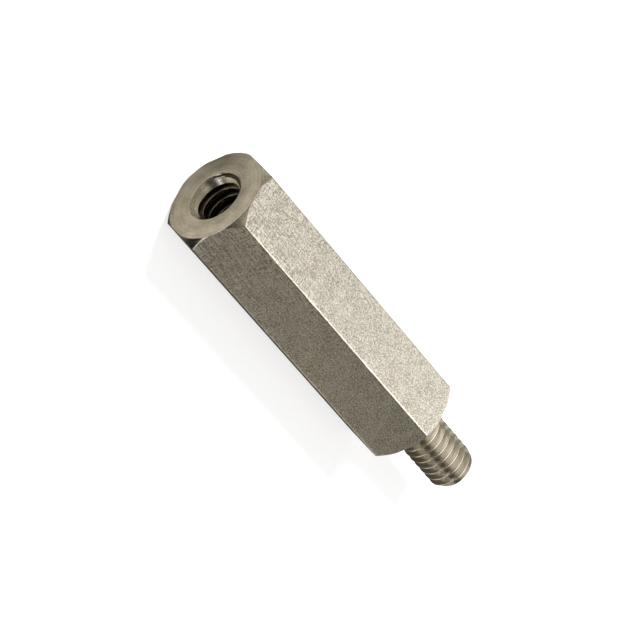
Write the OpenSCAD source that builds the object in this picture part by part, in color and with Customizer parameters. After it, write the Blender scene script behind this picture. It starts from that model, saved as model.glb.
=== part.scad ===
// Male-female hex standoff, turned in one piece from hexagon bar.
// It lies on one of its flats, with the stud toward +X. The origin is on the
// common axis of the bar, the stud and the hole, level with the shoulder.
// Sizes are in millimetres, angles in degrees. The threads are left plain: the
// stud is as wide as its thread over the crests, and the hole as wide as its
// thread between the crests.

/* [Hexagon bar] */
// Width across the flats
across_flats = 12.7; // [11:0.1:20]
// Length of the bar, from the female end to the shoulder
bar_length = 44.45; // [25:0.05:120]
// How far the six long edges are rounded back from sharp corners
edge_setback = 0.04; // [0.01:0.01:0.4]

/* [Turned ends] */
// Chamfer at the female end, inward from the hexagon's corners
female_chamfer = 0.93; // [0.2:0.01:1.6]
// Slope of the female end's chamfer, from the end face
female_chamfer_angle = 45; // [15:1:60]
// Chamfer around the shoulder, inward from the hexagon's corners
shoulder_chamfer = 0.93; // [0.2:0.01:1.6]
// Slope of the shoulder's chamfer, from the shoulder
shoulder_chamfer_angle = 45; // [15:1:60]

/* [Threaded stud] */
// Diameter of the stud over its thread
stud_diameter = 6.35; // [3:0.05:8]
// Length of the stud, from the shoulder to the tip
stud_length = 12.7; // [4:0.05:40]
// Length of the chamfer at the stud's tip
tip_chamfer_length = 0.6; // [0.2:0.05:1]
// Slope of the tip's chamfer, from the axis
tip_chamfer_angle = 45; // [20:1:50]

/* [Tapped hole] */
// Diameter of the hole inside its thread
hole_diameter = 5.2; // [3:0.05:6.8]
// Depth of the full diameter, from the female end
hole_depth = 16; // [8:0.1:20]
// Full angle of the drill's point at the bottom
drill_point_angle = 118; // [90:1:140]
// Diameter of the countersink at the mouth
countersink_diameter = 7.2; // [7:0.05:8.6]
// Full angle of the countersink
countersink_angle = 90; // [60:1:120]

/* [Hidden] */

// A circle with this many sides counts as round
round_sides = 96;
// How far one shape runs into or past another, where it has to
overrun = 1;

hexagon_radius = across_flats / 2 / cos(30);
envelope_radius = hexagon_radius + overrun;
female_slope = tan(female_chamfer_angle);
shoulder_slope = tan(shoulder_chamfer_angle);

stud_radius = stud_diameter / 2;
tip_radius = stud_radius - tip_chamfer_length * tan(tip_chamfer_angle);

hole_radius = hole_diameter / 2;
countersink_slope = tan(countersink_angle / 2);
countersink_depth = (countersink_diameter / 2 - hole_radius) / countersink_slope;
countersink_tool_radius = countersink_diameter / 2 + overrun * countersink_slope;
drill_point_length = hole_radius / tan(drill_point_angle / 2);

// Section of the drawn bar, with its corners rounded about the bar's own axis.
module bar_section() {
    intersection() {
        rotate(30)
            circle(r = hexagon_radius, $fn = 6);
        circle(r = hexagon_radius - edge_setback, $fn = round_sides);
    }
}

// The lathe's envelope: everything outside it is chamfered away at the two ends.
module turned_envelope() {
    rotate_extrude($fn = round_sides)
        polygon([
            [0, -bar_length],
            [hexagon_radius - female_chamfer, -bar_length],
            [envelope_radius, (female_chamfer + overrun) * female_slope - bar_length],
            [envelope_radius, -(shoulder_chamfer + overrun) * shoulder_slope],
            [hexagon_radius - shoulder_chamfer, 0],
            [0, 0]
        ]);
}

// The hexagon bar between the female end and the shoulder.
module bar() {
    intersection() {
        translate([0, 0, -bar_length])
            linear_extrude(bar_length)
                bar_section();
        turned_envelope();
    }
}

// The stud as one turned profile, rooted in the bar.
module stud() {
    rotate_extrude($fn = round_sides)
        polygon([
            [0, -overrun],
            [stud_radius, -overrun],
            [stud_radius, stud_length - tip_chamfer_length],
            [tip_radius, stud_length],
            [0, stud_length]
        ]);
}

// What the countersink, the drill and its point cut out of the female end.
module hole() {
    rotate_extrude($fn = round_sides)
        polygon([
            [0, -bar_length - overrun],
            [countersink_tool_radius, -bar_length - overrun],
            [hole_radius, countersink_depth - bar_length],
            [hole_radius, hole_depth - bar_length],
            [0, hole_depth + drill_point_length - bar_length]
        ]);
}

// The standoff is turned along +Z, and then laid down along +X.
module standoff() {
    color([0.72, 0.69, 0.62])
        rotate([0, 90, 0])
            difference() {
                union() {
                    bar();
                    stud();
                }
                hole();
            }
}

standoff();
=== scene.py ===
"""Male-female hex standoff: threaded steel part on a plain pale floor.

The part is worked out in mm and turned into Blender's metres at the end. Angles
round its axis start at +Y and run toward +Z.
"""

import math

import bmesh
import bpy
import numpy as np
from mathutils import Matrix, Vector, noise


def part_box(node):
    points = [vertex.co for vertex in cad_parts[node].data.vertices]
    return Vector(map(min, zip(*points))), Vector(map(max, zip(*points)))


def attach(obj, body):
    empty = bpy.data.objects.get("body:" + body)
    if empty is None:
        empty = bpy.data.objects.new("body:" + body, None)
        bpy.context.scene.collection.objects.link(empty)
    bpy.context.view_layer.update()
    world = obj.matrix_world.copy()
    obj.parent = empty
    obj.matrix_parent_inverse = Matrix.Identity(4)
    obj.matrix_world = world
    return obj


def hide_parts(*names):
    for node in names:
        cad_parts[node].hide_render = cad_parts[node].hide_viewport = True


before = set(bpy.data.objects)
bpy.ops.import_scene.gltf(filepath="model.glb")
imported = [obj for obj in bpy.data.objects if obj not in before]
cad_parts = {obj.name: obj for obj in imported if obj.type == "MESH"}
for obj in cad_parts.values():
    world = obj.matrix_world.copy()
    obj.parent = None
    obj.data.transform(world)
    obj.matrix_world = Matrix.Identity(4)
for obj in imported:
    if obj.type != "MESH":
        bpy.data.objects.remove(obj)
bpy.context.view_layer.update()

MM = 0.001
TURN = 2 * math.pi

# ---------------------------------------------------------------- sizes, in mm
box_low, box_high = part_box("standoff")
FEMALE_END = box_low[0] / MM
STUD_TIP = box_high[0] / MM
HALF_FLATS = box_high[2] / MM

FACE_RADIUS = 6.402  # round end faces left by the chamfers
EDGE_RADIUS = 0.262  # long edges of the hexagon
EDGE_WEAR = 0.03  # the most that wear takes off a long edge
RIM_RADIUS = 0.16  # arcs where chamfers, flats and end faces meet

PITCH = 1.27
FLANK_SLOPE = math.sqrt(3)  # of both threads, outward for each mm along the axis

STUD_CREST = 3.175
STUD_CREST_BLEND = 0.05
STUD_CREST_FLAT = 0.12
STUD_ROOT = 2.42
STUD_ROOT_BLEND = 0.16
STUD_PHASE = 0.86  # where a crest passes angle zero, from the shoulder
STUD_NECK = 2.95  # what the thread runs out to at the shoulder
RUN_OUT_START = 0.3
RUN_OUT_LENGTH = 1.5
NECK_FILLET = 0.25
TIP_RADIUS = 2.575
TIP_BLEND = 0.06

HOLE_CREST = 2.6
HOLE_CREST_BLEND = 0.04
HOLE_CREST_FLAT = 0.42
HOLE_ROOT = 3.19
HOLE_ROOT_BLEND = 0.06
HOLE_PHASE = 0.9  # where a crest passes angle zero, from the female end
HOLE_THREAD_END = 12.6  # where the thread starts to run out
PLAIN_BORE_START = HOLE_THREAD_END + 2
HOLE_DEPTH = 16.0
DRILL_POINT_ANGLE = 118
POINT_LENGTH = HOLE_CREST / math.tan(math.radians(DRILL_POINT_ANGLE / 2))
MOUTH_RADIUS = 3.6
MOUTH_BEVEL = 0.05
CONE_BLEND = 0.05
GROOVE_DEPTH = 0.03  # in the cone of the mouth, from where it looks like the bore
FLARE = 0.3  # how far the tap's start widens the thread at the mouth
FLARE_LENGTH = 0.9

# ---------------------------------------------------------------- mesh layout
EDGE_COLUMNS = 8
FLAT_COLUMNS = 22
COLUMNS = 6 * (EDGE_COLUMNS + FLAT_COLUMNS)
ARC_ROWS = 4
BAR_ROWS = 64
# Rows of one thread, as distances from its crest
STUD_ROWS = [0, 0.05, 0.08, 0.115, 0.22, 0.33, 0.43, 0.49, 0.54, 0.585, PITCH / 2]
HOLE_ROWS = [0, 0.14, 0.19, 0.225, 0.28, 0.38, 0.48, 0.53, 0.565, 0.6, PITCH / 2]

# Angles of evenly spaced columns, from the start of the first long edge
EVEN = (np.arange(COLUMNS) - EDGE_COLUMNS / 2) * TURN / COLUMNS

# The four finishes, in the order of their materials
STEEL, TURNED, THREAD, BORE = range(4)
MERGE_DISTANCE = 2e-7  # metres


class Shell:
    """Collects rows of points round the axis, and the quads between them."""

    def __init__(self):
        self.points = []
        self.quads = []
        self.finish = []

    def rows(self, rows, finish):
        """Adds closed rows, each given as x, radius and angle.

        Each of the three is one number, or one for every column.
        """
        spread = [[np.broadcast_to(value, COLUMNS) for value in row] for row in rows]
        self.grid(*np.moveaxis(np.array(spread), 1, 0), finish)

    def grid(self, x, radius, angle, finish, rows_per_turn=0):
        """Adds rows whose last column joins the first one, rows_per_turn later."""
        grid = len(self.points) + np.arange(x.size).reshape(x.shape)
        points = np.stack([x, radius * np.cos(angle), radius * np.sin(angle)], -1)
        self.points += points.reshape(-1, 3).tolist()
        later = np.minimum(np.arange(len(grid)) + rows_per_turn, len(grid) - 1)
        after = np.hstack([grid[:, 1:], grid[later, :1]])
        quads = np.stack([grid[:-1], after[:-1], after[1:], grid[1:]], -1)
        self.quads += quads.reshape(-1, 4).tolist()
        self.finish += np.broadcast_to(finish, grid.shape)[:-1].ravel().tolist()


def smooth_min(a, b, reach):
    overlap = np.maximum(reach - np.abs(a - b), 0) / reach
    return np.minimum(a, b) - overlap**2 * reach / 4


def smooth_max(a, b, reach):
    return -smooth_min(-a, -b, reach)


def ease(value):
    """Smooth step from 0 to 1."""
    value = np.clip(value, 0, 1)
    return value * value * (3 - 2 * value)


def polar(distance, angle):
    """Point at a distance from the axis, as y and z."""
    return np.array([math.cos(angle), math.sin(angle)]) * distance


def section():
    """Angles and radii of the hexagon's columns, and how near each is to an edge."""
    centre_distance = (HALF_FLATS - EDGE_RADIUS) / math.cos(math.pi / 6)
    bends = np.linspace(-math.pi / 6, math.pi / 6, EDGE_COLUMNS + 1)
    edges = []
    for corner in np.arange(7) * math.pi / 3:
        centre = polar(centre_distance, corner)
        edges.append([centre + polar(EDGE_RADIUS, corner + bend) for bend in bends])
    points, nearness = [], []
    for edge, next_edge in zip(edges, edges[1:]):
        points += edge
        nearness += [math.cos(bend * 3) ** 2 for bend in bends]
        for step in range(1, FLAT_COLUMNS):
            points.append(edge[-1] + (next_edge[0] - edge[-1]) * step / FLAT_COLUMNS)
            nearness.append(0.0)
    angles = np.unwrap([math.atan2(z, y) for y, z in points])
    radii = np.array([math.hypot(y, z) for y, z in points])
    return angles, radii, np.array(nearness)


def rim(radii):
    """Rows over one end of the bar: depth from the end face, and radius."""
    set_back = RIM_RADIUS * (math.sqrt(2) - 1)
    inner_radius = np.minimum(FACE_RADIUS - set_back, radii - RIM_RADIUS)
    outer_depth = np.maximum(radii - FACE_RADIUS + set_back, RIM_RADIUS)
    rows = []
    for way in np.radians(np.linspace(180, 135, ARC_ROWS + 1)):
        depth = RIM_RADIUS + RIM_RADIUS * math.cos(way)
        rows.append((depth, inner_radius + RIM_RADIUS * math.sin(way)))
    for way in np.radians(np.linspace(135, 90, ARC_ROWS + 1)):
        depth = outer_depth + RIM_RADIUS * math.cos(way)
        rows.append((depth, radii - RIM_RADIUS + RIM_RADIUS * math.sin(way)))
    return rows


def worn(x, angle):
    """How worn the edge nearest to an angle is at x, from 0 to 1."""
    edge = round(angle / TURN * 6)
    long_waves = noise.noise(Vector((0.9 * x, 3.7 * edge, 0.4)))
    short_waves = noise.noise(Vector((2.6 * x, 5.1 * edge, 7.0)))
    return np.clip(long_waves + 0.6 * short_waves + 0.2, 0, 1)


def build_bar(shell, angle, radii, nearness):
    """Both rims and the flats between them. Gives the radii of an end face."""
    rows = rim(radii)
    female_rim = [(FEMALE_END + depth, radius, angle) for depth, radius in rows]
    shoulder_rim = [(-depth, radius, angle) for depth, radius in reversed(rows)]
    start, end = female_rim[-1][0], shoulder_rim[0][0]
    flats = [female_rim[-1]]
    for share in np.linspace(0, 1, BAR_ROWS + 1)[1:-1]:
        x = start + (end - start) * share
        wear = np.array([worn(*spot) for spot in zip(x, angle)])
        flats.append((x, radii - nearness * EDGE_WEAR * wear, angle))
    flats.append(shoulder_rim[0])
    shell.rows(female_rim, TURNED)
    shell.rows(flats, STEEL)
    shell.rows(shoulder_rim, TURNED)
    return rows[0][1]


def helix_grid(low, high, phase, half_rows):
    """Rows that climb a thread and are clamped flat at low and high.

    Gives their x, their distance from the nearest crest, their angle, and how
    many of them make one turn.
    """
    half = np.array(half_rows)
    within = np.unique(np.round(np.concatenate([-half, half]), 6))[:-1]
    first_turn = math.floor((low - phase) / PITCH) - 2
    last_turn = math.ceil((high - phase) / PITCH) + 1
    starts = [PITCH * n for n in range(first_turn, last_turn + 1)]
    rows = np.concatenate([within + start for start in starts])
    angle = (np.arange(COLUMNS) + EDGE_COLUMNS / 2) * TURN / COLUMNS
    turns = angle / TURN
    x = phase + rows[:, None] + PITCH * turns
    wholly_below = np.searchsorted(rows + phase + PITCH, low) - 1
    x = np.clip(x[max(wholly_below - 1, 0):], low, high)
    distance = (x - phase - PITCH * turns + PITCH / 2) % PITCH - PITCH / 2
    return x, np.abs(distance), np.broadcast_to(angle, x.shape), len(within)


def build_stud(shell, shoulder_radius, angle):
    """Shoulder, fillet, thread and tip."""
    foot = STUD_NECK + NECK_FILLET
    rows = [
        (0, shoulder_radius, angle),
        (0, (shoulder_radius + foot) / 2, (angle + EVEN) / 2),
    ]
    for way in np.radians(np.linspace(90, 180, ARC_ROWS + 1)):
        x = NECK_FILLET - NECK_FILLET * math.sin(way)
        rows.append((x, foot + NECK_FILLET * math.cos(way), EVEN))
    shell.rows(rows, TURNED)

    x, off, turn, per_turn = helix_grid(NECK_FILLET, STUD_TIP, STUD_PHASE, STUD_ROWS)
    radius = STUD_CREST - (off - STUD_CREST_FLAT / 2) * FLANK_SLOPE
    radius = smooth_min(radius, STUD_CREST, STUD_CREST_BLEND)
    radius = smooth_max(radius, STUD_ROOT, STUD_ROOT_BLEND)
    grown = ease((x - RUN_OUT_START) / RUN_OUT_LENGTH)
    radius = STUD_NECK + (radius - STUD_NECK) * grown
    radius = smooth_min(radius, TIP_RADIUS + STUD_TIP - x, TIP_BLEND)
    shell.grid(x, radius, turn, THREAD, per_turn)

    shares = (1, 0.97, 0.6, 0.25, 0)
    shell.rows([(STUD_TIP, radius[-1] * share, turn[0]) for share in shares], TURNED)


def build_hole(shell, face_radius, angle):
    """Female end's face, mouth, thread and drill point."""
    rows = [
        (FEMALE_END, face_radius, angle),
        (FEMALE_END, (face_radius + MOUTH_RADIUS) / 2, (angle + EVEN) / 2),
    ]
    for deep, out in ((0, 1), (0.3, 0.1), (1, -1)):
        x = FEMALE_END + deep * MOUTH_BEVEL
        rows.append((x, MOUTH_RADIUS + out * MOUTH_BEVEL, EVEN))
    shell.rows(rows, TURNED)

    depth, off, turn, per_turn = helix_grid(
        MOUTH_BEVEL, PLAIN_BORE_START, HOLE_PHASE, HOLE_ROWS
    )
    flare = FLARE * (1 - ease(depth / FLARE_LENGTH))
    radius = HOLE_CREST + (off - HOLE_CREST_FLAT / 2) * FLANK_SLOPE + flare
    radius = smooth_max(radius, HOLE_CREST, HOLE_CREST_BLEND)
    radius = smooth_min(radius, HOLE_ROOT + flare, HOLE_ROOT_BLEND)
    grown = 1 - ease((depth - HOLE_THREAD_END) / RUN_OUT_LENGTH)
    radius = HOLE_CREST + (radius - HOLE_CREST) * grown
    cone = MOUTH_RADIUS - depth
    on_cone = (depth < MOUTH_RADIUS - HOLE_CREST) & (radius <= cone + GROOVE_DEPTH)
    radius = smooth_max(radius, cone, CONE_BLEND)
    finish = np.where(on_cone, TURNED, BORE)
    shell.grid(FEMALE_END + depth, radius, turn, finish, per_turn)

    rows = [(FEMALE_END + PLAIN_BORE_START, radius[-1], turn[0])]
    for share in (1, 0.7, 0.35, 0):
        deep = HOLE_DEPTH + POINT_LENGTH * (1 - share)
        rows.append((FEMALE_END + deep, radius[-1] * share, turn[0]))
    shell.rows(rows, BORE)


def standoff_mesh():
    shell = Shell()
    angle, radii, nearness = section()
    face_radius = build_bar(shell, angle, radii, nearness)
    build_stud(shell, face_radius, angle)
    build_hole(shell, face_radius, angle)

    mesh = bpy.data.meshes.new("standoff_threaded")
    mesh.from_pydata((np.array(shell.points) * MM).tolist(), [], shell.quads)
    mesh.polygons.foreach_set("material_index", shell.finish)
    work = bmesh.new()
    work.from_mesh(mesh)
    bmesh.ops.remove_doubles(work, verts=work.verts, dist=MERGE_DISTANCE)
    bmesh.ops.recalc_face_normals(work, faces=work.faces)
    for face in work.faces:
        face.smooth = True
    work.to_mesh(mesh)
    work.free()
    return mesh


mesh = standoff_mesh()
standoff = bpy.data.objects.new("standoff_threaded", mesh)
bpy.context.collection.objects.link(standoff)
normals = standoff.modifiers.new("face_weighted_normals", "WEIGHTED_NORMAL")
normals.weight = 50
normals.keep_sharp = True


# ---------------------------------------------------------------- materials
class Nodes:
    """Short calls for adding nodes and links to one material or world."""

    def __init__(self, owner):
        owner.use_nodes = True
        self.tree = owner.node_tree
        self.tree.nodes.clear()

    def add(self, kind, inputs=None, **settings):
        node = self.tree.nodes.new(kind)
        for key, value in settings.items():
            setattr(node, key, value)
        for key, value in (inputs or {}).items():
            if isinstance(value, bpy.types.NodeSocket):
                self.tree.links.new(value, node.inputs[key])
            else:
                node.inputs[key].default_value = value
        return node

    def math(self, operation, a, b, clamp=False):
        settings = {"operation": operation, "use_clamp": clamp}
        return self.add("ShaderNodeMath", {0: a, 1: b}, **settings).outputs[0]

    def range(self, value, low, high, to_low, to_high):
        inputs = {"Value": value, "From Min": low, "From Max": high}
        inputs.update({"To Min": to_low, "To Max": to_high})
        return self.add("ShaderNodeMapRange", inputs).outputs[0]

    def noise(self, vector, scale, detail, roughness):
        """Noise that is zero on average."""
        inputs = {"Vector": vector, "Scale": scale}
        inputs.update({"Detail": detail, "Roughness": roughness})
        texture = self.add("ShaderNodeTexNoise", inputs)
        return self.math("SUBTRACT", texture.outputs["Fac"], 0.5)

    def stretched_noise(self, vector, scales):
        mapping = self.add("ShaderNodeMapping", {"Vector": vector, "Scale": scales})
        return self.noise(mapping.outputs["Vector"], 1.0, 3.0, 0.65)

    def total(self, *terms):
        """Sum of sockets, each times its weight."""
        result = None
        for value, weight in terms:
            part = self.math("MULTIPLY", value, weight)
            result = part if result is None else self.math("ADD", result, part)
        return result

    def seen(self):
        """1 for rays from the camera, a mirror or glass, and 0 for all others."""
        path = self.add("ShaderNodeLightPath").outputs
        direct = self.math("ADD", path["Is Camera Ray"], path["Is Glossy Ray"])
        return self.math("ADD", direct, path["Is Transmission Ray"], clamp=True)

    def surface(self, shader):
        self.add("ShaderNodeOutputMaterial", {"Surface": shader.outputs[0]})


PALE = (1.0, 0.94, 0.82, 1)
DARK = (0.36, 0.325, 0.265, 1)
THREAD_PALE = (0.88, 0.83, 0.73, 1)
THREAD_DARK = (0.58, 0.535, 0.455, 1)
# The bore's colours carry painted shade: its thread roots go near black, while its
# crests stay pale.
BORE_PALE = (0.46, 0.41, 0.33, 1)
BORE_PAINTED_SHADE = (0.012, 0.009, 0.007, 1)

# Scales of the grain are per mm.
SPECKLE_SCALE = 6.5
BLOTCH_SCALE = 0.5
RING_SCALE = 2.2
STREAK_SCALES = (0.5, 5.5, 5.5)  # along the bar
SCRATCH_SCALES = (6.5, 1.0, 1.0)  # across the bar
CONTRAST = 1.6  # of the grain, between the dark colour and the pale one
BUMP_STRENGTH = 0.7
BUMP_HEIGHT = 0.02  # mm
ROUGHNESS_GRAIN = 0.15  # how far a speckle changes the roughness

# Streaks and scratches fade with the distance from the female end, in mm.
FADE_START = 1
FADE_END = 22
FADED = 0.15
# Scratches are fainter in the middle of a flat than near its edges.
MID_FLAT_RADIUS = 6.5
EDGE_START_RADIUS = 7.2
MID_FLAT_SCRATCHES = 0.35
# The long edges are burnished by handling.
BURNISHED_RADIUS = 7.26
BURNISH_PALER = 0.25
BURNISH_SMOOTHER = 0.12
CREST_BURNISH_AND_SHADE = 0.7  # share of a thread's colour that follows its crests: pale crests, partly burnish wear and partly painted highlight, and painted shade toward the roots


def turned_grain(n, x, radius, speckle, blotch):
    """Grain of a turned face, with faint rings round the axis."""
    along = n.add("ShaderNodeCombineXYZ", {0: radius, 1: x}).outputs[0]
    rings = n.noise(along, RING_SCALE, 3.0, 0.6)
    return n.total((speckle, 0.9), (rings, 0.6), (blotch, 0.6))


def drawn_grain(n, place, x, radius, speckle, blotch):
    """Grain of the bar's flats, rougher toward the female end."""
    near_end = n.range(x, FEMALE_END + FADE_START, FEMALE_END + FADE_END, 1.0, FADED)
    near_edge = n.range(
        radius, MID_FLAT_RADIUS, EDGE_START_RADIUS, MID_FLAT_SCRATCHES, 1.0
    )
    streaks = n.math("MULTIPLY", n.stretched_noise(place, STREAK_SCALES), near_end)
    scratches = n.stretched_noise(place, SCRATCH_SCALES)
    strength = n.math("MULTIPLY", near_end, near_edge)
    scratches = n.math("MULTIPLY", scratches, strength)
    return n.total((speckle, 2.4), (streaks, 1.7), (scratches, 3.1), (blotch, 0.3))


def steel_material(name, pale, dark, roughness, turned, crest=None):
    """Grey-beige steel with a fine grain.

    crest gives two radii, of a thread root darkened with painted shade and of a crest
    made pale partly by burnish wear and partly by painted highlight.
    """
    material = bpy.data.materials.new(name)
    n = Nodes(material)
    spot = n.add("ShaderNodeTexCoord").outputs["Object"]
    in_mm = {0: spot, "Scale": 1 / MM}
    place = n.add("ShaderNodeVectorMath", in_mm, operation="SCALE").outputs[0]
    x, y, z = n.add("ShaderNodeSeparateXYZ", {0: place}).outputs
    across = n.add("ShaderNodeCombineXYZ", {1: y, 2: z}).outputs[0]
    length = n.add("ShaderNodeVectorMath", {0: across}, operation="LENGTH")
    radius = length.outputs["Value"]
    speckle = n.noise(place, SPECKLE_SCALE, 2.0, 0.65)
    blotch = n.noise(place, BLOTCH_SCALE, 2.0, 0.5)
    if turned:
        grain = turned_grain(n, x, radius, speckle, blotch)
    else:
        grain = drawn_grain(n, place, x, radius, speckle, blotch)
    share = n.math("ADD", n.math("MULTIPLY", grain, CONTRAST), 0.5, clamp=True)
    rough = n.math("ADD", n.math("MULTIPLY", speckle, ROUGHNESS_GRAIN), roughness)
    if not turned:
        edge = n.range(radius, EDGE_START_RADIUS, BURNISHED_RADIUS, 0.0, 1.0)
        paler = n.math("MULTIPLY", edge, BURNISH_PALER)
        share = n.math("ADD", share, paler, clamp=True)
        rough = n.math("SUBTRACT", rough, n.math("MULTIPLY", edge, BURNISH_SMOOTHER))
    if crest:
        # Pale crests and dark roots: burnish wear and painted highlight on the crests,
        # painted shade in the roots.
        burnish_and_shade = n.range(radius, crest[0], crest[1], 0.0, 1.0)
        share = n.total((share, 1 - CREST_BURNISH_AND_SHADE), (burnish_and_shade, CREST_BURNISH_AND_SHADE))
    colour = n.add("ShaderNodeMix", {0: share, 6: dark, 7: pale}, data_type="RGBA")
    bump = n.add(
        "ShaderNodeBump",
        {"Height": grain, "Strength": BUMP_STRENGTH, "Distance": BUMP_HEIGHT * MM},
    )
    shader = n.add(
        "ShaderNodeBsdfPrincipled",
        {
            "Base Color": colour.outputs[2],
            "Metallic": 1.0,
            "Roughness": rough,
            "Normal": bump.outputs[0],
        },
    )
    n.surface(shader)
    return material


for material in (
    steel_material("bar_steel", PALE, DARK, 0.3, False),
    steel_material("turned_steel", PALE, DARK, 0.2, True),
    steel_material("thread_steel", THREAD_PALE, THREAD_DARK, 0.17, True, (3.05, 3.15)),
    steel_material("bore_steel", BORE_PALE, BORE_PAINTED_SHADE, 0.25, True, (2.72, 2.62)),
):
    mesh.materials.append(material)

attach(standoff, "root")
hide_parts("standoff")

# ---------------------------------------------------------------- floor
FLOOR_REACH = 1.5  # from the middle to each side, in metres
FLOOR_GREY = (0.85, 0.85, 0.85, 1)
FLOOR_LIFT = 0.7  # what brings the floor up to white where it is seen


def lay_floor():
    data = bpy.data.meshes.new("floor")
    signs = [(-1, -1), (1, -1), (1, 1), (-1, 1)]
    corners = [(x * FLOOR_REACH, y * FLOOR_REACH, box_low[2]) for x, y in signs]
    data.from_pydata(corners, [], [(0, 1, 2, 3)])
    floor = bpy.data.objects.new("floor", data)
    bpy.context.collection.objects.link(floor)

    material = bpy.data.materials.new("floor_white")
    n = Nodes(material)
    lift = n.math("MULTIPLY", n.seen(), FLOOR_LIFT)
    matte = n.add("ShaderNodeBsdfDiffuse", {"Color": FLOOR_GREY})
    glow = n.add("ShaderNodeEmission", {"Color": (1, 1, 1, 1), "Strength": lift})
    n.surface(n.add("ShaderNodeAddShader", {0: matte.outputs[0], 1: glow.outputs[0]}))
    data.materials.append(material)


lay_floor()


# ---------------------------------------------------------------- reflections
def patched(level, patches, offset):
    """A level in one place, where each patch fades into what is round it.

    offset takes a patch's middle and gives the two distances to the place.
    """
    for middle_1, middle_2, reach_1, reach_2, patch_level in patches:
        away_1, away_2 = offset(middle_1, middle_2)
        away = (away_1 / reach_1) ** 2 + (away_2 / reach_2) ** 2
        level += (patch_level - level) * math.exp(-away)
    return level


def mirrored(name, material_name, corners, shades, faces, shader):
    """Staging that only reflections see, with a colour for each corner."""
    data = bpy.data.meshes.new(name)
    data.from_pydata(corners, [], faces)
    shade = data.color_attributes.new("shade", "FLOAT_COLOR", "POINT")
    shade.data.foreach_set("color", np.array(shades).ravel())
    material = bpy.data.materials.new(material_name)
    n = Nodes(material)
    colour = n.add("ShaderNodeAttribute", attribute_name="shade").outputs["Color"]
    n.surface(n.add(shader, {"Color": colour}))
    data.materials.append(material)
    screen = bpy.data.objects.new(name, data)
    bpy.context.collection.objects.link(screen)
    screen.visible_camera = False
    screen.visible_diffuse = False
    screen.visible_shadow = False
    return screen


# A grey cloth under the part that only reflections see, with painted shade and painted
# light: dark patches paint the part's shadow and the darkness in front of the bar, pale
# ones paint pools of light.
# Patches: x and y in mm, reach along x and y, and the level in their middle.
MAT_LEVEL = 0.3
MAT_PAINTED_SHADE_AND_LIGHT = [
    (-10, -75, 45, 35, 0.1),  # painted shade in front of the bar
    (-58, 6, 18, 18, 0.7),  # painted light beyond the female end
    # painted shadow round the female end, with painted light in the pale patch just off
    # its face
    (-47, 10, 6, 7, 0.2),
    (-52, -16, 10, 8, 0.01),
    (-46.5, -12, 5, 5, 0.0),
    (-53, -9, 5, 4, 0.02),
    (-50, -2.5, 4, 3, 0.75),
    (0, -26, 20, 11, 1.0),  # painted light in front of the stud
    # more painted light in front of the stud
    (18, -14, 9, 7, 1.0),
    (24, 4, 8, 6, 0.02),  # painted shadow beyond the stud's tip
]
MAT_TINT = (1, 0.94, 0.8)
MAT_HEIGHT = 0.02  # over the floor, in mm
MAT_LINES_X = [-250, -180, -130, *range(-96, 50, 2), 80, 120, 180, 250]
MAT_LINES_Y = [-250, -180, -130, *range(-99, 45, 2), 80, 120, 180, 250]
# Where it leaves the floor bare: low x, high x, low y and high y in mm.
MAT_OPENINGS = [(-250, -38, -250, -23), (-42, -24, 9, 250)]


def bare(x, y):
    return any(
        low_x <= x < high_x and low_y <= y < high_y
        for low_x, high_x, low_y, high_y in MAT_OPENINGS
    )


def lay_mat():
    corners, shades, faces = [], [], []
    height = box_low[2] + MAT_HEIGHT * MM
    for x in MAT_LINES_X:
        for y in MAT_LINES_Y:
            corners.append((x * MM, y * MM, height))
            level = patched(MAT_LEVEL, MAT_PAINTED_SHADE_AND_LIGHT, lambda px, py: (x - px, y - py))
            shades.append([level * tint for tint in MAT_TINT] + [1])
    wide = len(MAT_LINES_Y)
    for along, x in enumerate(MAT_LINES_X[:-1]):
        for across, y in enumerate(MAT_LINES_Y[:-1]):
            if not bare(x, y):
                spot = along * wide + across
                faces.append((spot, spot + wide, spot + wide + 1, spot + 1))
    mat = mirrored("mat", "mat_painted_shade", corners, shades, faces, "ShaderNodeBsdfDiffuse")


lay_mat()

# ---------------------------------------------------------------- light
WORLD_LEVEL = 0.25  # for what isn't seen directly, in a mirror or through glass


def light_world():
    world = bpy.data.worlds.new("studio")
    bpy.context.scene.world = world
    n = Nodes(world)
    level = n.range(n.seen(), 0.0, 1.0, WORLD_LEVEL, 1.0)
    sky = n.add("ShaderNodeBackground", {"Color": (1, 1, 1, 1), "Strength": level})
    n.add("ShaderNodeOutputWorld", {"Surface": sky.outputs[0]})


def soft_light(name, way, distance, size, power):
    """Round lamp facing the middle of the bar from a direction, in metres and watts."""
    data = bpy.data.lights.new(name, "AREA")
    data.shape = "DISK"
    data.size = size
    data.energy = power
    lamp = bpy.data.objects.new(name, data)
    bpy.context.collection.objects.link(lamp)
    lamp.visible_glossy = False
    lamp.rotation_mode = "QUATERNION"
    way = Vector(way).normalized()
    lamp.location = Vector((FEMALE_END / 2 * MM, 0, 0)) + way * distance
    lamp.rotation_quaternion = way.to_track_quat("Z", "Y")


light_world()
soft_light("main", (-0.12, 0.6, 0.8), 0.5, 0.2, 2.0)
soft_light("fill", (0.6, -0.5, 0.9), 0.6, 0.4, 0.4)

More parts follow.
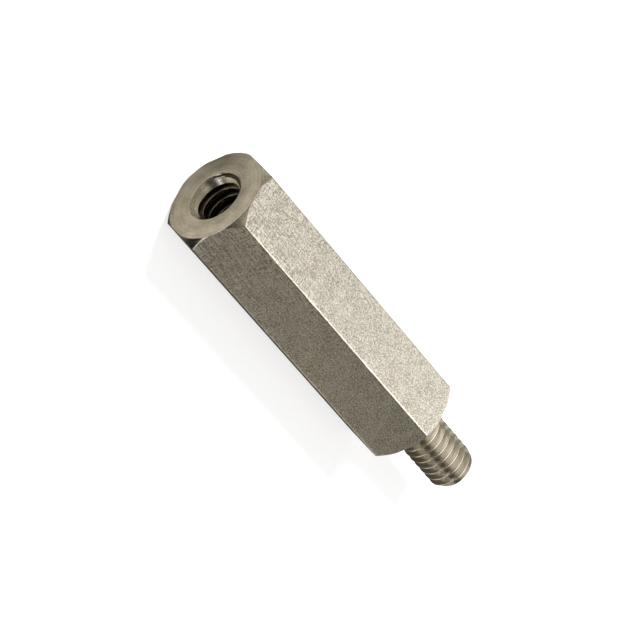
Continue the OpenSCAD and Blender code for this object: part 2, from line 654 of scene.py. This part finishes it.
# A domed tent round the part.
# Patches: azimuth and elevation from the part, reach sideways and up, all in
# degrees, and the level in their middle.
TENT_LEVEL = 0.22
TENT_PATCHES = [
    (10, 85, 60, 25, 1.4),  # overhead light
    (-50, 62, 45, 12, 1.1),
    (85, 62, 30, 15, 1.1),
    (15, 20, 28, 26, 2.1),  # soft box over the stud's end
    (49, 46, 15, 11, 0.15),
    (155, 18, 22, 12, 0.6),  # window beyond the female end
    (115, 14, 12, 12, 0.5),
    (-162, 36, 12, 9, 0.7),
    (-148, 12, 30, 20, 0.02),  # dark room at the left
    (-70, 15, 40, 25, 0.1),
    (-78, 0, 9, 6, 2.5),
    (-58, 12, 18, 22, 0.08),
    (-24, 6, 11, 12, 0.05),
    (0, 52, 11, 5, 3.0),  # lamps over the front edge
    (-28, 47, 15, 10, 2.3),
]
TENT_ROWS = 31
TENT_COLUMNS = 120
TENT_RADIUS = 1.4  # metres
TENT_LOW = -3  # elevation of the lowest row, in degrees
TENT_WARM = (1.0, 0.93, 0.76)
# The tent is warm below the first level and neutral above the second.
WARM_BELOW = 0.45
NEUTRAL_ABOVE = 0.9


def tent_level(azimuth, elevation):
    def offset(middle_azimuth, middle_elevation):
        turn = (azimuth - middle_azimuth + 180) % 360 - 180
        between = math.radians((elevation + middle_elevation) / 2)
        return turn * math.cos(between), elevation - middle_elevation

    return patched(TENT_LEVEL, TENT_PATCHES, offset)


def pitch_tent():
    corners, shades, faces = [], [], []
    for row in range(TENT_ROWS + 1):
        elevation = TENT_LOW + (90 - TENT_LOW) * row / TENT_ROWS
        height = TENT_RADIUS * math.sin(math.radians(elevation))
        for column in range(TENT_COLUMNS):
            azimuth = 360 * column / TENT_COLUMNS
            reach = TENT_RADIUS * math.cos(math.radians(elevation))
            corners.append((*polar(reach, math.radians(azimuth)), height))
            level = tent_level(azimuth, elevation)
            neutral = ease((level - WARM_BELOW) / (NEUTRAL_ABOVE - WARM_BELOW))
            shades.append([level * (w + (1 - w) * neutral) for w in TENT_WARM] + [1])
    for low in range(0, TENT_ROWS * TENT_COLUMNS, TENT_COLUMNS):
        high = low + TENT_COLUMNS
        for column in range(TENT_COLUMNS):
            after = (column + 1) % TENT_COLUMNS
            faces.append((low + column, low + after, high + after, high + column))
    tent = mirrored("tent", "tent", corners, shades, faces, "ShaderNodeEmission")


pitch_tent()

# ---------------------------------------------------------------- camera
CAMERA_AZIMUTH = math.radians(-56.11)
CAMERA_ELEVATION = math.radians(41.57)
CAMERA_ROLL = math.radians(93.67)
CAMERA_DISTANCE = 0.42406  # metres
CAMERA_AIM = Vector((-20.62, -0.68, 0.48)) * MM
CAMERA_LENS = 195.8  # mm, on a sensor 36 mm wide


def place_camera():
    sine, cosine = math.sin(CAMERA_AZIMUTH), math.cos(CAMERA_AZIMUTH)
    level = math.cos(CAMERA_ELEVATION)
    back = Vector((sine * level, -cosine * level, math.sin(CAMERA_ELEVATION)))
    level_right = Vector((cosine, sine, 0))
    level_up = back.cross(level_right)
    right = level_right * math.cos(CAMERA_ROLL) + level_up * math.sin(CAMERA_ROLL)
    turned = Matrix((right, back.cross(right), back)).transposed().to_4x4()
    data = bpy.data.cameras.new("camera")
    data.lens = CAMERA_LENS
    data.sensor_width = 36
    data.clip_start = 0.01
    data.clip_end = 10
    camera = bpy.data.objects.new("camera", data)
    bpy.context.collection.objects.link(camera)
    place = Matrix.Translation(CAMERA_AIM + back * CAMERA_DISTANCE)
    camera.matrix_world = place @ turned
    bpy.context.scene.camera = camera


place_camera()

bpy.context.scene.view_settings.view_transform = "Standard"
